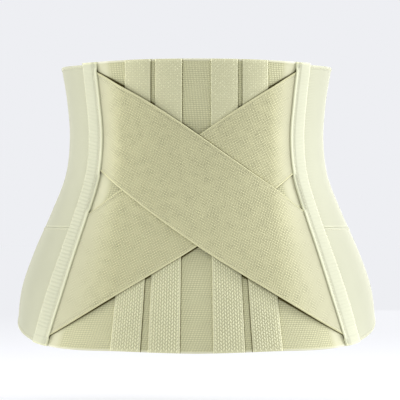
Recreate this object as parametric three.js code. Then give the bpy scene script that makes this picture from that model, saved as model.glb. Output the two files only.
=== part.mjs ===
// Lumbosacral brace in its worn form: a knitted back panel with four stay casings under two crossed
// elastic straps, a padded tape over each side seam, side panels in two pieces and a plain front flap.
// Millimetres, +Z up. The back of the brace faces -Y, and the origin is on its axis at the waist.

import * as THREE from "three";
import { mergeVertices } from "three/addons/utils/BufferGeometryUtils.js";

// Sections of the worn form at even heights, from the wide lower edge up. Each gives the half width, the
// depth behind and in front of the axis, how square the oval is (2 is an ellipse), how far the side seam of
// the back lies from the middle, and how far the tape over that seam reaches out from it.
const SECTIONS = [
  { z: -240, halfWidth: 187, back: 130, front: 104, square: 2.45, seam: 158.5, tape: 22.5 },
  { z: -200, halfWidth: 187, back: 127, front: 106, square: 2.45, seam: 146.8, tape: 22.5 },
  { z: -160, halfWidth: 183, back: 121, front: 107, square: 2.45, seam: 134.5, tape: 21.3 },
  { z: -120, halfWidth: 169.5, back: 111, front: 105, square: 2.45, seam: 122.2, tape: 19.3 },
  { z: -80, halfWidth: 152, back: 101, front: 101, square: 2.4, seam: 109.3, tape: 18.3 },
  { z: -40, halfWidth: 136.8, back: 94, front: 97, square: 2.4, seam: 98.1, tape: 18 },
  { z: 0, halfWidth: 132.5, back: 92, front: 94, square: 2.35, seam: 95, tape: 18 },
  { z: 40, halfWidth: 135.5, back: 95, front: 93, square: 2.35, seam: 98, tape: 18 },
  { z: 80, halfWidth: 141.5, back: 100, front: 93, square: 2.35, seam: 102, tape: 18 },
];

// Heights of the top and bottom edges at even angles, from the middle of the back to the middle of the front
const EDGES = [
  { angle: 0, top: 78, bottom: -220.5 },
  { angle: 30, top: 77.5, bottom: -218.6 },
  { angle: 60, top: 75.5, bottom: -215 },
  { angle: 90, top: 75, bottom: -191.5 },
  { angle: 120, top: 69, bottom: -178 },
  { angle: 150, top: 61, bottom: -169 },
  { angle: 180, top: 58, bottom: -166 },
];

// Layers, as distances out from the worn form
const LAYER_GAP = 0.6;
const BACK_THICKNESS = 1.3;
const CASING_FLOOR = BACK_THICKNESS + LAYER_GAP;
const CASING_EDGE_HEIGHT = 1.3;
const CASING_CROWN_HEIGHT = 2.3;
const STRAP_THICKNESS = 1.3;
const STRAP_END_FLOOR = BACK_THICKNESS + LAYER_GAP;
const STRAP_UNDER_FLOOR = CASING_FLOOR + CASING_CROWN_HEIGHT + LAYER_GAP;
const STRAP_OVER_FLOOR = STRAP_UNDER_FLOOR + STRAP_THICKNESS + LAYER_GAP;
const SIDE_THICKNESS = 1.7;
const CLOSURE_THICKNESS = 1.8;

// Stay casings: the distance of each long edge from the middle, at the top and at the bottom. They flare
// towards the bottom, by a power of the share of the way down.
const CASINGS = [
  { name: "outer", topInner: 46.3, topOuter: 72.3, bottomInner: 56.5, bottomOuter: 86.6 },
  { name: "inner", topInner: 14.5, topOuter: 41.7, bottomInner: 16.8, bottomOuter: 48.8 },
];
const CASING_FLARE = 2.2;

// Crossed straps: which way each rises, the heights of its two ends on the seams, from the upper edge to
// the lower one, how far its edges bow up at mid length, and how far they sway up near the high end and
// down near the low end
const STRAPS = [
  { name: "under", floor: STRAP_UNDER_FLOOR, rise: 1, high: 67.1, highLow: -38.5, low: -82.3, lowLow: -205.5,
    bowTop: 3, bowBottom: -8.5, swayTop: 1, swayBottom: -2.4 },
  { name: "over", floor: STRAP_OVER_FLOOR, rise: -1, high: 66.7, highLow: -35.2, low: -79.6, lowLow: -204.5,
    bowTop: 5.5, bowBottom: -10.5, swayTop: 1.7, swayBottom: -1.8 },
];
const STRAP_TUCK = 2.2;
const STRAP_RAMP_START = 2;

// Seam tape at the waist, from its raised inner edge outwards: distance from the seam, underside and top of
// its padding. The band beyond the sewn groove is wider where the sections say so.
const TAPE_GROOVE = 3.3;
const TAPE_REACH = 18;
const TAPE_PROFILE = [
  { out: -0.8, under: 3.8, top: 4.8 },
  { out: 1, under: 3.8, top: 5.3 },
  { out: TAPE_GROOVE, under: 3.3, top: 4.5 },
  { out: 5, under: 2.3, top: 5.2 },
  { out: 15, under: 2.3, top: 5.1 },
  { out: TAPE_REACH, under: 2.3, top: 3.1 },
];

// Where the panels meet: the back panel ends under the tape, and the side panels start beside it
const BACK_TUCK = 2.6;
const SIDE_START = 3.6;
const HIP_SEAM_HEIGHT = -95;
const HIP_SEAM_GAP = 0.6;
const FRONT_HALF_GAP = 1;
const SIDE_EDGE_DROP = 2;

// Front flap: half its width, and how far it stays inside the panels' edges
const CLOSURE_HALF_WIDTH = 58;
const CLOSURE_EDGE_MARGIN = 12;

const SETTLE_PASSES = 6;

// Facets of each wall: round the brace or along the strap, and up
const BACK_FACETS = [24, 14];
const CASING_FACETS = [4, 14];
const STRAP_FACETS = [22, 6];
const TAPE_ROWS = 14;
const SIDE_FACETS = [16, 7];
const CLOSURE_FACETS = [8, 8];

const CLOTHS = {
  knit: { color: 0xc3c29b, roughness: 0.9 },
  webbing: { color: 0xcfcea9, roughness: 0.85 },
  elastic: { color: 0xc9c6a0, roughness: 0.88 },
  tape: { color: 0xe6e6cb, roughness: 0.8 },
  satin: { color: 0xe2e2c8, roughness: 0.75 },
};

// Value of one column of an evenly spaced table, on a smooth curve through its rows
function tableCurve(rows, key, column) {
  const points = rows.map((row) => new THREE.Vector2(row[key], row[column]));
  const curve = new THREE.SplineCurve(points);
  const first = rows[0][key];
  const span = rows[rows.length - 1][key] - first;
  return (at) => curve.getPoint(THREE.MathUtils.clamp((at - first) / span, 0, 1)).y;
}

const halfWidthAt = tableCurve(SECTIONS, "z", "halfWidth");
const backDepthAt = tableCurve(SECTIONS, "z", "back");
const frontDepthAt = tableCurve(SECTIONS, "z", "front");
const squareAt = tableCurve(SECTIONS, "z", "square");
const seamAt = tableCurve(SECTIONS, "z", "seam");
const tapeReachAt = tableCurve(SECTIONS, "z", "tape");
const topEdgeAt = tableCurve(EDGES, "angle", "top");
const bottomEdgeAt = tableCurve(EDGES, "angle", "bottom");

const topAt = (angle) => topEdgeAt(THREE.MathUtils.radToDeg(Math.abs(angle)));
const bottomAt = (angle) => bottomEdgeAt(THREE.MathUtils.radToDeg(Math.abs(angle)));

// Point on the worn form at an angle from the middle of the back, positive towards +X
function formPoint(angle, z) {
  const square = squareAt(z);
  const sine = Math.sin(angle);
  const cosine = Math.cos(angle);
  const depth = cosine > 0 ? backDepthAt(z) : frontDepthAt(z);
  const sum = (Math.abs(sine) / halfWidthAt(z)) ** square + (Math.abs(cosine) / depth) ** square;
  const radius = sum ** (-1 / square);
  return new THREE.Vector3(radius * sine, -radius * cosine, z);
}

// Point at a distance out from the worn form, square to its surface
function layer(angle, z, distance) {
  const step = 1e-3;
  const around = formPoint(angle + step, z).sub(formPoint(angle - step, z));
  const upward = formPoint(angle, z + 1).sub(formPoint(angle, z - 1));
  const outward = around.cross(upward).normalize();
  return formPoint(angle, z).addScaledVector(outward, distance);
}

// Angle of a point of the back that lies x from the middle
function backAngle(x, z) {
  const share = (Math.abs(x) / halfWidthAt(z)) ** squareAt(z);
  const depth = backDepthAt(z) * (1 - share) ** (1 / squareAt(z));
  return Math.atan2(x, depth);
}

// Angle of a point that lies out from the right seam, measured along the cloth
function besideSeam(z, out) {
  const seamAngle = backAngle(seamAt(z), z);
  const step = 1e-3;
  const speed = formPoint(seamAngle + step, z).distanceTo(formPoint(seamAngle - step, z)) / (2 * step);
  return seamAngle + out / speed;
}

// A wall is a thin segmented box laid on the worn form. Its place is a function of three shares from 0 to 1:
// across, towards +X on the back, up, and through, from the inner face to the outer one.
function wall(columns, rows, place) {
  const box = new THREE.BoxGeometry(1, 1, 1, columns, rows, 1);
  box.deleteAttribute("normal");
  box.deleteAttribute("uv");
  const geometry = mergeVertices(box);
  const position = geometry.getAttribute("position");
  for (let i = 0; i < position.count; i += 1) {
    const point = place(position.getX(i) + 0.5, position.getY(i) + 0.5, position.getZ(i) + 0.5);
    position.setXYZ(i, point.x, point.y, point.z);
  }
  return geometry;
}

// The same wall on the other side of the brace
function mirrored(place) {
  return (across, up, through) => {
    const point = place(1 - across, up, through);
    point.x = -point.x;
    return point;
  };
}

const lerp = THREE.MathUtils.lerp;

// Height at a share of the way from the bottom edge to the top edge
const heightBetweenEdges = (angle, up) => lerp(bottomAt(angle), topAt(angle), up);

// A point's height follows from its angle and its angle from its height, so a few passes settle both
function settle(heightOf, angleOf) {
  let angle = Math.PI / 3;
  let z = 0;
  for (let pass = 0; pass < SETTLE_PASSES; pass += 1) {
    z = heightOf(angle);
    angle = angleOf(z);
  }
  return { angle, z };
}

function backPanel() {
  return wall(...BACK_FACETS, (across, up, through) => {
    const share = 2 * across - 1;
    const { angle, z } = settle(
      (at) => heightBetweenEdges(at, up),
      (height) => backAngle(share * formPoint(besideSeam(height, BACK_TUCK), height).x, height),
    );
    return layer(angle, z, through * BACK_THICKNESS);
  });
}

// Distances of a casing's two long edges from the middle, at a share of the way up
function casingEdges(casing, up) {
  const flare = (1 - up) ** CASING_FLARE;
  return {
    inner: lerp(casing.topInner, casing.bottomInner, flare),
    outer: lerp(casing.topOuter, casing.bottomOuter, flare),
  };
}

// Right-hand casing, lower along its long edges than over the stay inside it
function casingPlace(casing) {
  return (across, up, through) => {
    const edges = casingEdges(casing, up);
    const x = lerp(edges.inner, edges.outer, across);
    const { angle, z } = settle(
      (at) => heightBetweenEdges(at, up),
      (height) => backAngle(x, height),
    );
    const crown = 1 - (2 * across - 1) ** 4;
    const thickness = lerp(CASING_EDGE_HEIGHT, CASING_CROWN_HEIGHT, crown);
    return layer(angle, z, CASING_FLOOR + through * thickness);
  };
}

// Height of a strap's inner face over the worn form: low at the seams, and clear of the casings between them
function strapFloor(strap, x, z) {
  const up = (z - bottomAt(0)) / (topAt(0) - bottomAt(0));
  const casingEdge = casingEdges(CASINGS[0], up).outer;
  const share = THREE.MathUtils.smoothstep(-Math.abs(x), STRAP_RAMP_START - seamAt(z), -casingEdge);
  return lerp(STRAP_END_FLOOR, strap.floor, share);
}

// A strap's end on the right seam at height z, tucked under the tape
function strapEnd(z) {
  return new THREE.Vector2(formPoint(besideSeam(z, STRAP_TUCK), z).x, z);
}

// The facets crowd towards the strap's ends, where it dips under the tapes
function strapWall(strap) {
  return wall(...STRAP_FACETS, (across, up, through) => {
    const along = (1 - strap.rise * Math.cos(Math.PI * across)) / 2;
    const start = strapEnd(lerp(strap.lowLow, strap.low, up));
    start.x = -start.x;
    const end = strapEnd(lerp(strap.highLow, strap.high, up));
    const point = start.lerp(end, along);
    point.y += lerp(strap.bowBottom, strap.bowTop, up) * 4 * along * (1 - along);
    point.y -= lerp(strap.swayBottom, strap.swayTop, up) * Math.sin(2 * Math.PI * along);
    const x = strap.rise * point.x;
    const distance = strapFloor(strap, x, point.y) + through * STRAP_THICKNESS;
    return layer(backAngle(x, point.y), point.y, distance);
  });
}

// Distance from the seam of a row of the tape, spread with the band's width at that height
function tapeOut(out, z) {
  const share = Math.max(0, out - TAPE_GROOVE) / (TAPE_REACH - TAPE_GROOVE);
  return out + share * (tapeReachAt(z) - TAPE_REACH);
}

// Right-hand seam tape
function tapePlace(across, up, through) {
  const row = TAPE_PROFILE[Math.round(across * (TAPE_PROFILE.length - 1))];
  const { angle, z } = settle(
    (at) => heightBetweenEdges(at, up),
    (height) => besideSeam(height, tapeOut(row.out, height)),
  );
  return layer(angle, z, lerp(row.under, row.top, through));
}

// Right-hand side panel between two heights, each a function of the angle, from the seam to the front
function sidePlace(lowAt, highAt) {
  return (across, up, through) => {
    const { angle, z } = settle(
      (at) => lerp(lowAt(at), highAt(at), up),
      (height) => {
        const front = Math.PI - FRONT_HALF_GAP / frontDepthAt(height);
        return lerp(besideSeam(height, SIDE_START), front, across);
      },
    );
    return layer(angle, z, through * SIDE_THICKNESS);
  };
}

const upperSide = sidePlace(
  () => HIP_SEAM_HEIGHT + HIP_SEAM_GAP / 2,
  (angle) => topAt(angle) - SIDE_EDGE_DROP,
);
const lowerSide = sidePlace(bottomAt, () => HIP_SEAM_HEIGHT - HIP_SEAM_GAP / 2);

// Flap over the gap between the side panels, the same on both sides of the middle of the front
function frontClosure() {
  const floor = SIDE_THICKNESS + LAYER_GAP;
  return wall(...CLOSURE_FACETS, (across, up, through) => {
    const x = (1 - 2 * across) * CLOSURE_HALF_WIDTH;
    const { angle, z } = settle(
      (at) => lerp(bottomAt(at) + CLOSURE_EDGE_MARGIN, topAt(at) - CLOSURE_EDGE_MARGIN, up),
      (height) => Math.atan2(x, -frontDepthAt(height)),
    );
    return layer(angle, z, floor + through * CLOSURE_THICKNESS);
  });
}

const brace = new THREE.Group();

function addPiece(name, cloth, geometry) {
  const material = new THREE.MeshStandardMaterial({ ...CLOTHS[cloth], metalness: 0 });
  const mesh = new THREE.Mesh(geometry, material);
  mesh.name = name;
  brace.add(mesh);
}

function addPair(name, cloth, facets, place) {
  addPiece(`${name}_right`, cloth, wall(...facets, place));
  addPiece(`${name}_left`, cloth, wall(...facets, mirrored(place)));
}

addPiece("back_panel", "knit", backPanel());
for (const casing of CASINGS) {
  addPair(`stay_casing_${casing.name}`, "webbing", CASING_FACETS, casingPlace(casing));
}
for (const strap of STRAPS) {
  addPiece(`cross_strap_${strap.name}`, "elastic", strapWall(strap));
}
addPair("seam_tape", "tape", [TAPE_PROFILE.length - 1, TAPE_ROWS], tapePlace);
addPair("side_panel_upper", "satin", SIDE_FACETS, upperSide);
addPair("side_panel_lower", "satin", SIDE_FACETS, lowerSide);
addPiece("front_closure", "satin", frontClosure());

export default brace;
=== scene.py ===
"""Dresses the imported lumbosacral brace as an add-on would: woven cloth, stitching, soft light and a camera.

Each cloth is laid on the same sections as the part's solids. Metres, +Z up, the back faces -Y.
"""

import math
from collections import namedtuple

import bpy
import numpy as np
from bpy.props import FloatProperty, FloatVectorProperty, IntProperty, PointerProperty
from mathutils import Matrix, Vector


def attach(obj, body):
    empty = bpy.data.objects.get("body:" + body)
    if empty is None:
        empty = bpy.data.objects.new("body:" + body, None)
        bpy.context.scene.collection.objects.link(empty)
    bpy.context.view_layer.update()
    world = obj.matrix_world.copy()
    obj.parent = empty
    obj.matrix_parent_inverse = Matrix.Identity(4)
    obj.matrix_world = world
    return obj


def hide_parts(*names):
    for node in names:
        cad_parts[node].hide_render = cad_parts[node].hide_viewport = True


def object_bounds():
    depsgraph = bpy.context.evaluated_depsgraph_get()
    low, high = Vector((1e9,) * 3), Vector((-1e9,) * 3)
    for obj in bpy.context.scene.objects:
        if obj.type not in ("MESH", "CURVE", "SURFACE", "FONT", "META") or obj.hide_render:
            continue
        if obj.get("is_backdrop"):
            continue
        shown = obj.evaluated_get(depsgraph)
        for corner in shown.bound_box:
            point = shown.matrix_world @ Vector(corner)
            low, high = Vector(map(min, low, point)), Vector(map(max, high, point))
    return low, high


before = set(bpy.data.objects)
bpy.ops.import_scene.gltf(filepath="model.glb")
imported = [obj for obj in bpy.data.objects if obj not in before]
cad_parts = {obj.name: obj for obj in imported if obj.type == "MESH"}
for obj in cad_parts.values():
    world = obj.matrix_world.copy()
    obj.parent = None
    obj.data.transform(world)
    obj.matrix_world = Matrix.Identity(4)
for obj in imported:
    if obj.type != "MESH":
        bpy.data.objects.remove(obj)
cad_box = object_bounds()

bl_info = {
    "name": "Lumbosacral brace",
    "version": (1, 0, 0),
    "blender": (4, 5, 0),
    "location": "View3D > Sidebar > Brace",
    "description": "Lays the cloth, straps, tapes and stitching of a back brace in its worn form",
    "category": "Add Mesh",
}

SIDES = ((1, "right"), (-1, "left"))

# Sections of the worn form at even heights, from the wide lower edge up: half width, depth behind and in
# front of the axis, how square the oval is (2 is an ellipse), the distance of the side seam from the
# middle, and how far the tape over that seam reaches out from it
Section = namedtuple("Section", "height half_width back front square seam tape")
SECTIONS = (
    Section(-0.240, 0.1870, 0.130, 0.104, 2.45, 0.1585, 0.0225),
    Section(-0.200, 0.1870, 0.127, 0.106, 2.45, 0.1468, 0.0225),
    Section(-0.160, 0.1830, 0.121, 0.107, 2.45, 0.1345, 0.0213),
    Section(-0.120, 0.1695, 0.111, 0.105, 2.45, 0.1222, 0.0193),
    Section(-0.080, 0.1520, 0.101, 0.101, 2.40, 0.1093, 0.0183),
    Section(-0.040, 0.1368, 0.094, 0.097, 2.40, 0.0981, 0.0180),
    Section(0.000, 0.1325, 0.092, 0.094, 2.35, 0.0950, 0.0180),
    Section(0.040, 0.1355, 0.095, 0.093, 2.35, 0.0980, 0.0180),
    Section(0.080, 0.1415, 0.100, 0.093, 2.35, 0.1020, 0.0180),
)

# Heights of the top and bottom edges at even angles, from the middle of the back to the middle of the front
Edge = namedtuple("Edge", "degrees top bottom")
EDGES = (
    Edge(0, 0.0780, -0.2205),
    Edge(30, 0.0775, -0.2186),
    Edge(60, 0.0755, -0.2150),
    Edge(90, 0.0750, -0.1915),
    Edge(120, 0.0690, -0.1780),
    Edge(150, 0.0610, -0.1690),
    Edge(180, 0.0580, -0.1660),
)

# Stay casings: the distance of each long edge from the middle, at the top and at the bottom. They flare
# towards the bottom, by a power of the share of the way down, and are rounded over their stays.
Casing = namedtuple("Casing", "name top_inner top_outer bottom_inner bottom_outer")
CASINGS = (
    Casing("outer", 0.0463, 0.0723, 0.0565, 0.0866),
    Casing("inner", 0.0145, 0.0417, 0.0168, 0.0488),
)
CASING_FLARE = 2.2
CASING_ROUNDNESS = 4
CASING_FLAT = (0.029, 0.30)

# Casing threads: the shares of a casing's width and length that they cover, and their length for each pitch.
# They lie deeper in the upper part, where the weave is finer: how much, and between which heights.
HERRINGBONE_ACROSS = (0.09, 0.91)
HERRINGBONE_UP = (0.008, 0.992)
HERRINGBONE_OVERLAP = 1.05
HERRINGBONE_SINK = 0.00034
CASING_TOP_REACH = (-0.05, 0.0)

# Crossed straps: which way each rises, the heights of its two ends on the seams, from the upper edge to
# the lower one, how far its edges bow up at mid length, and how far they sway up near the high end and
# down near the low end. The ends tuck under the tapes, and climb to the casings from just inside the seam.
Strap = namedtuple("Strap", "name rise high high_low low low_low bow_top bow_bottom sway_top sway_bottom")
STRAPS = (
    Strap("under", 1, 0.0671, -0.0385, -0.0823, -0.2055, 0.0030, -0.0085, 0.0010, -0.0024),
    Strap("over", -1, 0.0667, -0.0352, -0.0796, -0.2045, 0.0055, -0.0105, 0.0017, -0.0018),
)
STRAP_TUCK = 0.0022
STRAP_RAMP_START = 0.002
STRAP_FOLD = 0.004

# Seam tape at the waist, from its raised inner edge outwards: distance from the seam, underside and top of
# its padding. The band beyond the sewn groove is wider where the sections say so, the raised edge is let
# down where no strap lies under it, and the lower end is hemmed.
TapeRow = namedtuple("TapeRow", "out under top")
TAPE_LIP = 0.0018
TAPE_GROOVE = 0.0033
TAPE_REACH = 0.018
TAPE_ROWS = (
    TapeRow(-0.0008, 0.0034, 0.0042),
    TapeRow(0.0004, 0.0034, 0.0046),
    TapeRow(TAPE_LIP, 0.0034, 0.0043),
    TapeRow(TAPE_GROOVE, 0.0032, 0.0042),
    TapeRow(0.0052, 0.0023, 0.0047),
    TapeRow(0.0150, 0.0023, 0.0047),
    TapeRow(TAPE_REACH, 0.0023, 0.0031),
)
TAPE_BAND = (0.0044, 0.0158)
TAPE_OUTER_STITCH = 0.0168
TAPE_HEM = 0.0088
TAPE_HEM_HEIGHT = 0.0003
TAPE_LET_DOWN = 0.0017
TAPE_TOP_LET_DOWN = 0.0011
TAPE_RAMP = 0.004

# Soft ribs across the tape's band: the grooves between them and the painted shade in them, how much of
# them shows on the brighter right side, and where they fade towards the waist and end
RIB_GROOVE = 0.0005
RIB_GROOVE_WIDTH = 0.0007
RIB_GROOVE_SHADE = 0.08
RIB_SHARES = {"right": 0.45, "left": 1.0}
RIB_FAINT = 0.3
RIB_FADE = (-0.05, 0.02)
RIB_ENDS = (0.016, 0.004)

# Where the panels meet, and the front flap with its margins, rounded corners and folded edges
BACK_TUCK = 0.0026
SIDE_START = 0.0036
SIDE_EDGE_DROP = 0.002
SIDE_EDGE = 0.0006
HIP_SEAM_HEIGHT = -0.095
HIP_SEAM_GAP = 0.0002
HIP_FOLD = 0.003
FRONT_HALF_GAP = 0.001
FLAP_LENGTH = 0.20
FLAP_MARGIN = 0.012
FLAP_CORNER = 0.014
FLAP_FOLD = 0.004

# Relief of folds and selvedges. A fold is sewn at a share of its width, and the grid stays fine a little
# way past it.
FOLD_HEIGHT = 0.0005
FOLD_STEP = 0.0005
FOLD_SEWN = 0.75
FOLD_MARGIN = 0.0015
FOLD_SPACING = 0.0006
STITCH_GROOVE = 0.0003
SELVEDGE_HEIGHT = 0.0003
SELVEDGE_INSET = 0.0012
SELVEDGE_WIDTH = 0.0007

# Grids of the cloths: rough width and length, the width of the rounded edge, and the steps across and up
Grid = namedtuple("Grid", "width length edge across_step up_step")
BACK_GRID = Grid(0.32, 0.30, 0.001, 0.0026, 0.0026)
CASING_GRID = Grid(*CASING_FLAT, 0.0008, 0.0008, 0.0026)
STRAP_GRID = Grid(0.28, 0.11, 0.001, 0.0022, 0.0022)
TAPE_GRID = Grid(TAPE_REACH - TAPE_ROWS[0].out, 0.295, 0.0006, 0.0005, 0.00065)
SIDE_GRID = Grid(0.27, 0.15, 0.001, 0.0026, 0.0026)
FLAP_GRID = Grid(0.116, FLAP_LENGTH, 0.001, 0.0022, 0.0022)
EDGE_TURN = (0.0, 0.06, 0.25, 0.6)

# Rows of stitches: the shares of a length, of a casing's width and of a side panel that they run along, and
# the points along each path
STITCHED_LENGTH = (0.004, 0.996)
STITCHED_CASING = (0.045, 0.955)
STITCHED_SIDE = (0.06, 0.995)
PATH_POINTS = 90
SIDE_PATH_POINTS = 110
FLAP_PATH_POINTS = 60

# Painted shade where a cloth dips under another, standing in for the shadow beside a covering edge: how
# far it reaches, and stand-offs that make it narrower and lighter beside covers that lie close
PAINTED_SHADE_REACH = 0.01
PAINTED_SHADE_WIDTH = (0.0001, 0.0017)
PAINTED_SHADE_TINT = (0.97, 1.0, 1.1)
CASING_STANDOFF = 0.0003
TAPE_STANDOFF = 0.0016
CROSSING_STANDOFFS = (0.0013, -0.0002)
EDGE_SAMPLES = 120

# Stand-offs of the painted shade beside the straps: at the lower and upper edge of a sewn end, where it is
# raised over the casings, on the casings themselves, and on top of these where an edge near the middle faces
# left, whose painted shade stays light as though lit from the left
SEWN_STANDOFFS = (0.00045, 0.0002)
RAISED_STANDOFF = 0.0001
STRAP_STANDOFFS_ON_CASING = (0.0005, 0.0003)
LIT_STANDOFF = 0.0024
LIT_REACH = (0.005, 0.06)

# Paler cloth, as a share of cream added to its colour: rims, selvedges, casing tops, strap edges, the tape's
# raised edge, whose paleness is a painted highlight, and a strip beside the seams. Sewn strap ends, grooves,
# the tape's band and the far sides are duller instead; on the sewn ends, the grooves and the far sides this
# is painted shade. Both smooth the weave of most cloths.
PALE_SMOOTHING = 21.0
RIM_FADE = (0.7, 1.3)
RIM_WIDTH = 0.0018
PALE_RIM = 0.22
PALE_SIDE_RIM = 0.11
SELVEDGE_RIM = 0.0016
PALE_SELVEDGE = 0.2
PALE_CASING_TOP = 0.09
PALE_STRAP_EDGE = 0.15
SEWN_END_SHADE = 0.045
SEAM_STRIP = 0.0105
PALE_STRIP = 0.12
TAPE_LIP_HIGHLIGHT = 0.13
TAPE_GROOVE_SHADE = 0.012
TAPE_GROOVE_WIDTH = 0.0012
DULL_TAPE_BAND = 0.03
DULL_TAPE_HEM = 0.08
FAR_SIDE_SHADE = 0.12
FAR_SIDE_SHADE_REACH = (0.012, 0.05)

# Weave and colour: the scales of the noise in wavering threads, stretched places, patches and twisted
# threads, the shares of ribs across and up, the deepest stretched weave, and the creams of the cloths
WAVER_SCALE = 160
STRETCH_SCALE = 110
PATCH_SCALE = 45
TWIST_SCALE = 900
RIBS_ACROSS = 0.4
RIBS_UP = 0.6
DEEPEST_WEAVE = 1.6
CREAM = (0.6, 0.6, 0.42)
KNIT_CREAM = (0.6, 0.6, 0.7)
CLOTH_SPECULAR = 0.2
SHEEN_ROUGHNESS = 0.5

# Threads are rounded beads with few faces, and their length, width and height vary by these shares
BEAD_SEGMENTS = 6
BEAD_RINGS = 4
SMALLEST_THREAD = (0.92, 0.92, 0.9)
LARGEST_THREAD = (1.08, 1.08, 1.1)

# Soft lights, whose powers are settings, and the floor
Light = namedtuple("Light", "name place colour")
LIGHTS = (
    Light("right_light", (1.75, 0.1, 0.5), (0.9, 0.905, 1)),
    Light("left_light", (-1.75, 0, 0.25), (0.97, 0.96, 1)),
    Light("front_light", (0.4, 1.8, 0.5), (1, 1, 1)),
)
LIGHT_SIZE = (1.2, 1.6)
LIGHT_SPREAD = math.radians(60)
FLOOR_RADIUS = 8.0
FLOOR_SIDES = 96
FLOOR_ALBEDO = 0.35

# Steps of the search for places on the worn form
SETTLE_START = math.pi / 3
SETTLE_PASSES = 6
ANGLE_STEP = 1e-3
HEIGHT_STEP = 1e-3


def smoothstep(at, low, high):
    """Soft step from 0 at low to 1 at high."""
    share = np.clip((at - low) / (high - low), 0, 1)
    return share * share * (3 - 2 * share)


def ridge(at, middle, width):
    """1 along a rounded line at middle, falling away over the width."""
    return np.exp(-(((at - middle) / width) ** 2))


def rim(distance, width):
    """1 up to a width from an edge, fading out just past it."""
    start, end = RIM_FADE
    return 1 - smoothstep(distance, start * width, end * width)


def lerp(low, high, share):
    """Value a share of the way from low to high."""
    return low + (high - low) * share


def table_curve(rows, key, column):
    """Smooth curve through one column of an evenly spaced table."""
    first = getattr(rows[0], key)
    span_width = getattr(rows[1], key) - first
    values = [getattr(row, column) for row in rows]
    knots = np.array([values[0], *values, values[-1]])
    last_span = len(rows) - 2

    def curve(at):
        place = np.clip((np.asarray(at) - first) / span_width, 0, last_span + 1)
        span = np.minimum(place.astype(int), last_span)
        share = place - span
        before, start, end, after = (knots[span + step] for step in range(4))
        leave = (end - before) / 2
        arrive = (after - start) / 2
        cubed = 2 * (start - end) + leave + arrive
        squared = 3 * (end - start) - 2 * leave - arrive
        return ((cubed * share + squared) * share + leave) * share + start

    return curve


half_width_at = table_curve(SECTIONS, "height", "half_width")
back_at = table_curve(SECTIONS, "height", "back")
front_at = table_curve(SECTIONS, "height", "front")
square_at = table_curve(SECTIONS, "height", "square")
seam_at = table_curve(SECTIONS, "height", "seam")
tape_reach_at = table_curve(SECTIONS, "height", "tape")
top_edge_at = table_curve(EDGES, "degrees", "top")
bottom_edge_at = table_curve(EDGES, "degrees", "bottom")


def top_at(angle):
    """Height of the brace's top edge."""
    return top_edge_at(np.degrees(np.abs(angle)))


def bottom_at(angle):
    """Height of the brace's bottom edge."""
    return bottom_edge_at(np.degrees(np.abs(angle)))


def between_edges(angle, up):
    """Height at a share of the way from the bottom edge to the top edge."""
    return lerp(bottom_at(angle), top_at(angle), up)


def share_up(z):
    """Share of the way up the middle of the back."""
    return (z - bottom_at(0)) / (top_at(0) - bottom_at(0))


def form_points(angle, z):
    """Points on the worn form at angles from the middle of the back, positive towards +X."""
    square = square_at(z)
    sine = np.sin(angle)
    cosine = np.cos(angle)
    depth = np.where(cosine > 0, back_at(z), front_at(z))
    total = (np.abs(sine) / half_width_at(z)) ** square + (np.abs(cosine) / depth) ** square
    radius = total ** (-1 / square)
    return np.stack(np.broadcast_arrays(radius * sine, -radius * cosine, z), axis=-1)


def outward(angle, z):
    """Directions square to the worn form, pointing out of it."""
    around = form_points(angle + ANGLE_STEP, z) - form_points(angle - ANGLE_STEP, z)
    upward = form_points(angle, z + HEIGHT_STEP) - form_points(angle, z - HEIGHT_STEP)
    normal = np.cross(around, upward)
    return normal / np.linalg.norm(normal, axis=-1, keepdims=True)


def back_angle(x, z):
    """Angle of a point of the back that lies x from the middle."""
    square = square_at(z)
    share = (np.abs(x) / half_width_at(z)) ** square
    return np.arctan2(x, back_at(z) * (1 - share) ** (1 / square))


def beside_seam(z, out):
    """Angle of a point that lies out from the right seam, measured along the cloth."""
    seam = back_angle(seam_at(z), z)
    reach = form_points(seam + ANGLE_STEP, z) - form_points(seam - ANGLE_STEP, z)
    return seam + out * 2 * ANGLE_STEP / np.linalg.norm(reach, axis=-1)


def x_beside_seam(z, out):
    """Distance from the middle of a point that lies out from the right seam."""
    return form_points(beside_seam(z, out), z)[..., 0]


def settle(height_of, angle_of, shape):
    """Angles and heights that follow from each other, found in a few passes."""
    angle = np.full(shape, SETTLE_START)
    for _ in range(SETTLE_PASSES):
        z = height_of(angle)
        angle = angle_of(z)
    return np.broadcast_arrays(angle, z)


def edge_spaced(length, edge, step, fold):
    """Shares from 0 to 1 along a cloth, close together where its edges turn over and over its folds."""
    turn = edge * np.array(EDGE_TURN)
    if fold > edge:
        turn = np.concatenate([turn, np.arange(edge, fold, FOLD_SPACING)])
        edge = fold
    middle = np.linspace(edge, length - edge, max(3, round((length - 2 * edge) / step)))
    return np.concatenate([turn, middle, length - turn[::-1]]) / length


def cloth_grid(grid, side_fold=0.0, end_fold=0.0):
    """Shares across and up a cloth, at the places of its grid."""
    columns = edge_spaced(grid.width, grid.edge, grid.across_step, side_fold)
    rows = edge_spaced(grid.length, grid.edge, grid.up_step, end_fold)
    return np.meshgrid(columns, rows)


def run_length(points, axis):
    """Distance along the cloth from its first row or column."""
    steps = np.linalg.norm(np.diff(points, axis=axis), axis=-1)
    start = np.zeros_like(np.take(steps, [0], axis=axis))
    return np.concatenate([start, np.cumsum(steps, axis=axis)], axis=axis)


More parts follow.
